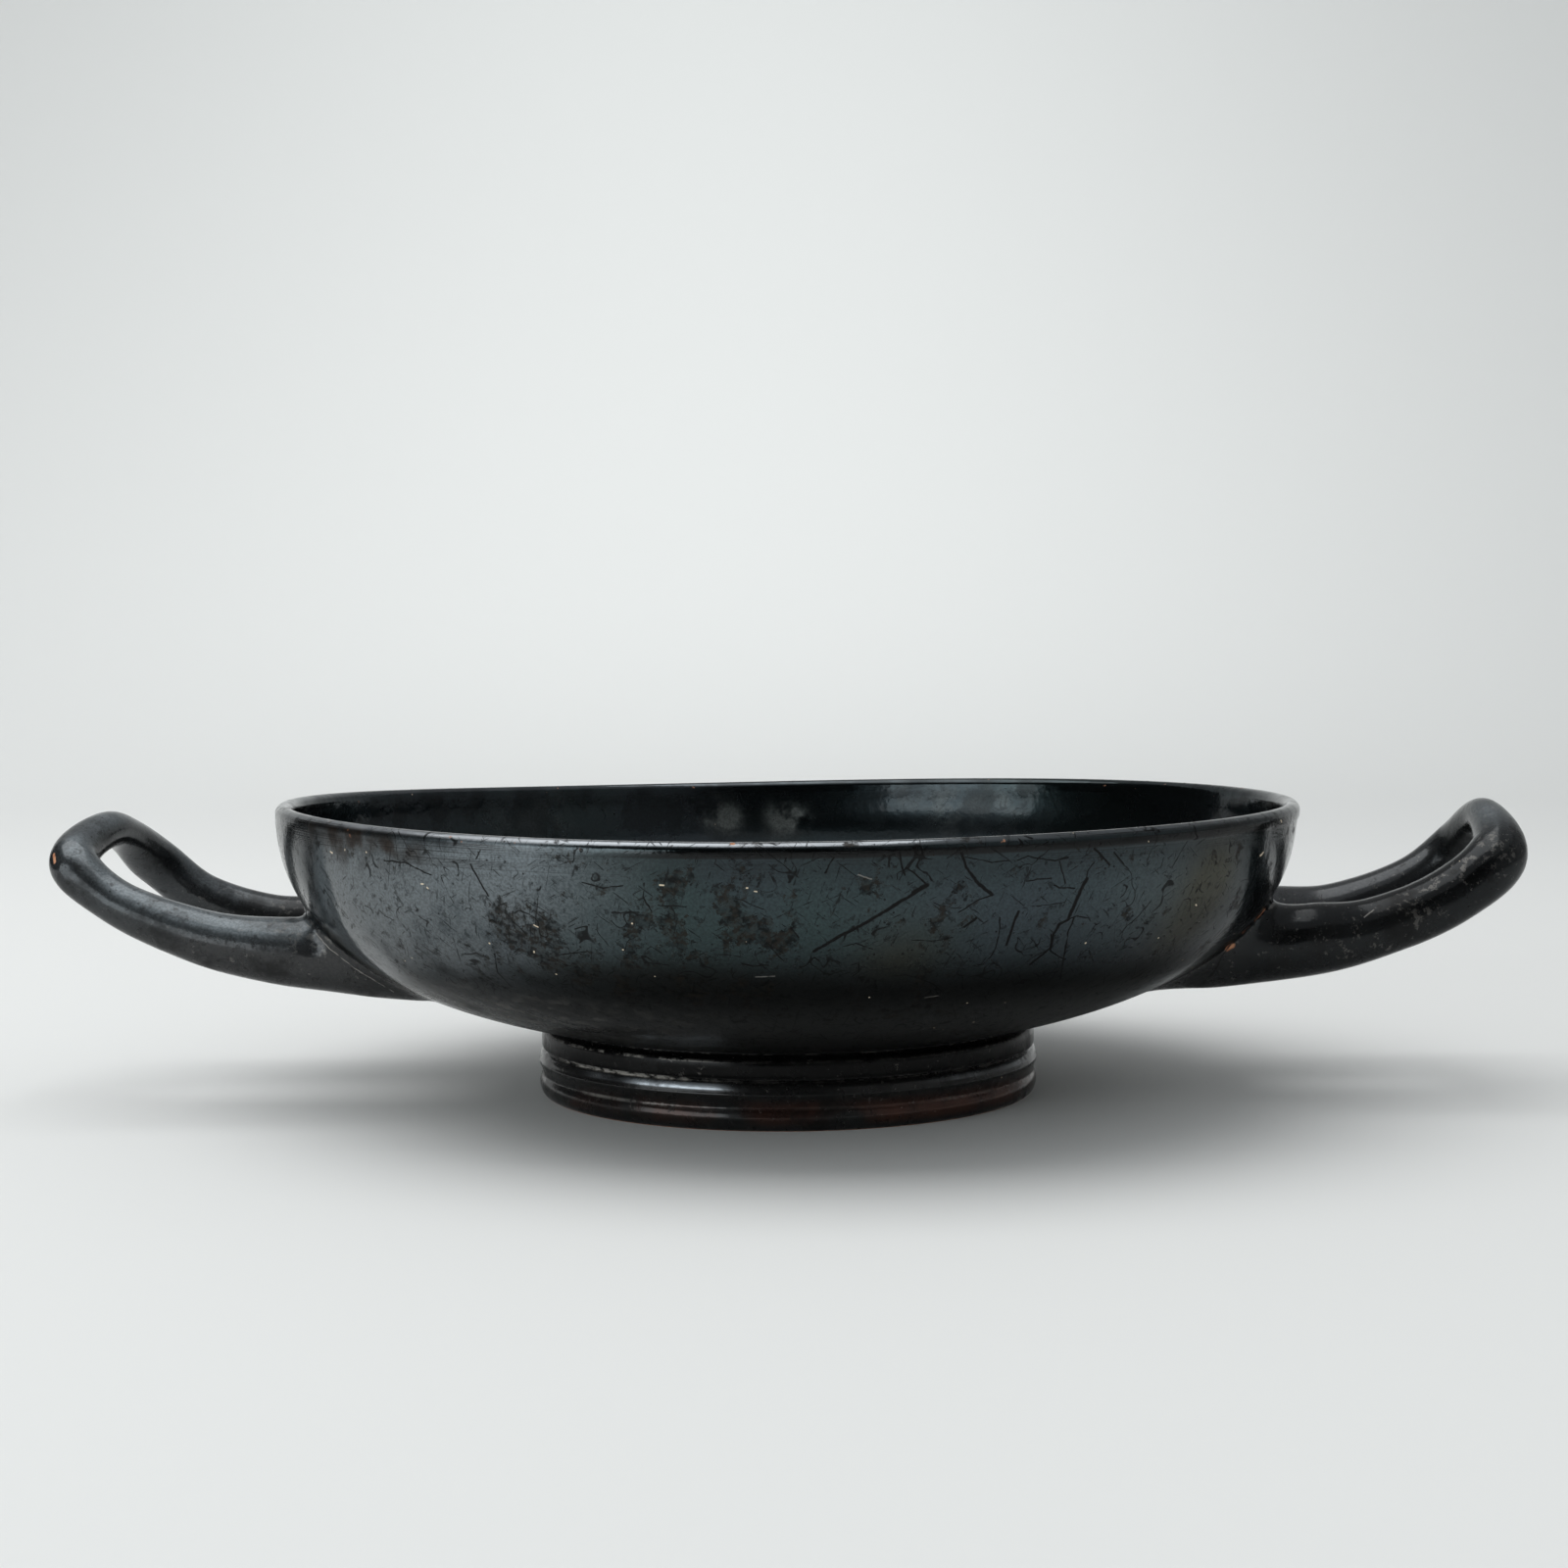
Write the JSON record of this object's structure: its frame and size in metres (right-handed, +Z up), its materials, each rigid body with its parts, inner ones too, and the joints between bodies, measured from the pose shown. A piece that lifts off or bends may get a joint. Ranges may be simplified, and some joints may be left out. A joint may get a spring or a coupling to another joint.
{
  "type": "two-handled black-glazed pottery bowl",
  "caption": "Wide shallow drinking bowl of fired clay with a glossy black coat, on a low moulded ring foot, with upswept loop handles at its sides.",
  "frame": {"origin": "on the table under the bowl, on the bowl's own turning axis", "axes": "+Z up along the turning axis, X through both handles, +Y away from the viewer"},
  "size_m": [0.2431, 0.17, 0.0494],
  "materials": {
    "black_gloss_clay": "gloss"
  },
  "bodies": {
    "root": {"bowl": "black_gloss_clay"}
  },
  "joints": []
}
